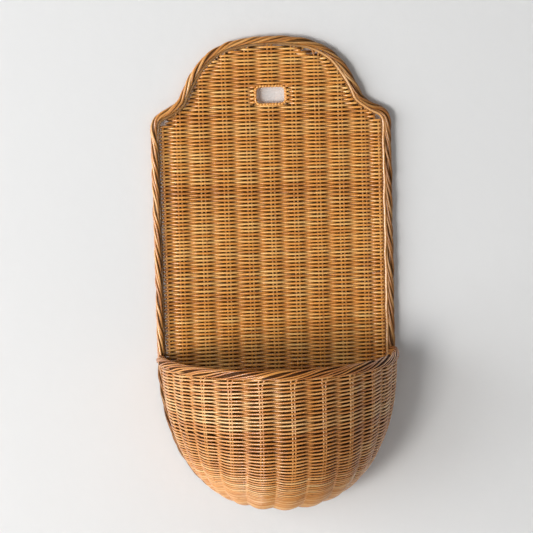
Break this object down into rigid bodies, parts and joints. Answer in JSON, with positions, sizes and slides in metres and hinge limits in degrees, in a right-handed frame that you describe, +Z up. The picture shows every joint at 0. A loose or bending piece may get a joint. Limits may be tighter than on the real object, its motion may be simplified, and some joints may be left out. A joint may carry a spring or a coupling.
{
  "type": "wall basket",
  "caption": "Woven rattan wall basket: flat arched back with shoulders and a hanging slot, rolled border, and a half-round woven pocket with a rolled rim.",
  "frame": {"origin": "where the hook bears: the middle of the hanging slot's upper edge, in the plane of the wall", "axes": "+Z up along the back, +Y into the wall, +X to the right as seen from the front; the pocket stands out towards -Y"},
  "size_m": [0.34, 0.193, 0.6594],
  "materials": {
    "border": "natural rattan, slight sheen",
    "frame": "natural rattan rod, satin",
    "weave": "woven rattan, slight sheen",
    "stake": "natural rattan rod, satin",
    "binding": "wound rattan, slight sheen"
  },
  "bodies": {
    "root": {"back_border": "border", "back_frame": "frame", "back_weave": "weave", "slot_binding": "binding", "pocket_weave": "weave", "pocket_rim": "border", "back_stake_1_left": "stake", "back_stake_1_right": "stake", "back_stake_2_left": "stake", "back_stake_2_right": "stake", "back_stake_3_left": "stake", "back_stake_3_right": "stake", "back_stake_4_left": "stake", "back_stake_4_right": "stake", "back_stake_5_left_lower": "stake", "back_stake_5_left_upper": "stake", "back_stake_5_right_lower": "stake", "back_stake_5_right_upper": "stake", "back_stake_6_left": "stake", "back_stake_6_right": "stake", "back_stake_7_left": "stake", "back_stake_7_right": "stake", "back_stake_8_left": "stake", "back_stake_8_right": "stake", "back_stake_9_left": "stake", "back_stake_9_right": "stake", "edge_stake_left": "stake", "edge_stake_right": "stake", "pocket_stake_1_left": "stake", "pocket_stake_1_right": "stake", "pocket_stake_2_left": "stake", "pocket_stake_2_right": "stake", "pocket_stake_3_left": "stake", "pocket_stake_3_right": "stake", "pocket_stake_4_left": "stake", "pocket_stake_4_right": "stake", "pocket_stake_5_left": "stake", "pocket_stake_5_right": "stake", "pocket_stake_6_left": "stake", "pocket_stake_6_right": "stake", "pocket_stake_7_left": "stake", "pocket_stake_7_right": "stake", "pocket_stake_8_left": "stake", "pocket_stake_8_right": "stake", "pocket_stake_9_left": "stake", "pocket_stake_9_right": "stake", "pocket_stake_10_left": "stake", "pocket_stake_10_right": "stake", "pocket_stake_11_left": "stake", "pocket_stake_11_right": "stake"}
  },
  "joints": []
}
